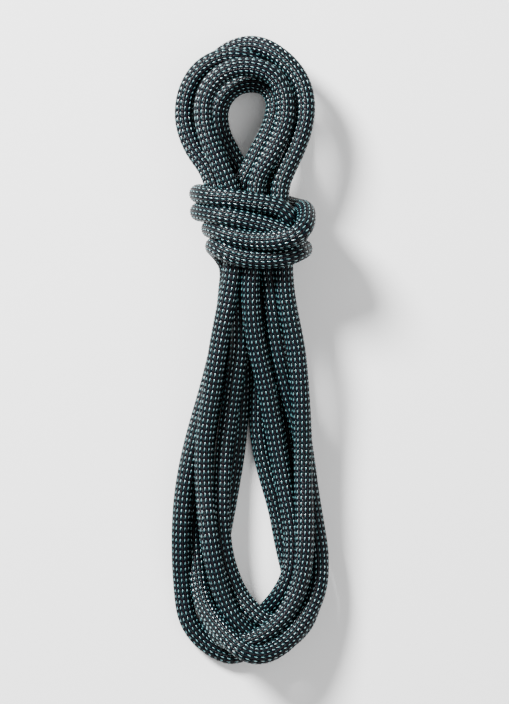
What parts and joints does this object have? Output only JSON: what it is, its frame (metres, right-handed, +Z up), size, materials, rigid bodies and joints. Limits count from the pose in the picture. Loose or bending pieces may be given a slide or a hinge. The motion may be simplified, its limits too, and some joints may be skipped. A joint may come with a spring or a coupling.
{
  "type": "dynamic climbing rope",
  "caption": "Dynamic climbing rope tied up as a flat hank: long bottom loops, short head loops and wraps round the neck.",
  "frame": {"origin": "centre of the bounding box, on the surface that the hank lies on", "axes": "+Y up the hank from the bottom loops to the head loops, +X across it to the right, +Z up from the surface"},
  "size_m": [0.0791, 0.316, 0.0565],
  "materials": {
    "sheath": "braided nylon, near black with pale cyan, grey and dark plum yarns",
    "core": "twisted white nylon",
    "thread": "fine coloured thread",
    "fused_end": "melted nylon"
  },
  "bodies": {
    "root": {"sheath": "sheath", "core_strand_inner_1": "core", "core_strand_inner_2": "core", "core_strand_inner_3": "core", "core_strand_outer_1": "core", "core_strand_outer_2": "core", "core_strand_outer_3": "core", "core_strand_outer_4": "core", "core_strand_outer_5": "core", "core_strand_outer_6": "core", "core_strand_outer_7": "core", "core_strand_outer_8": "core", "core_strand_outer_9": "core", "identification_thread": "thread", "fused_end_inner": "fused_end", "fused_end_tucked": "fused_end"}
  },
  "joints": []
}
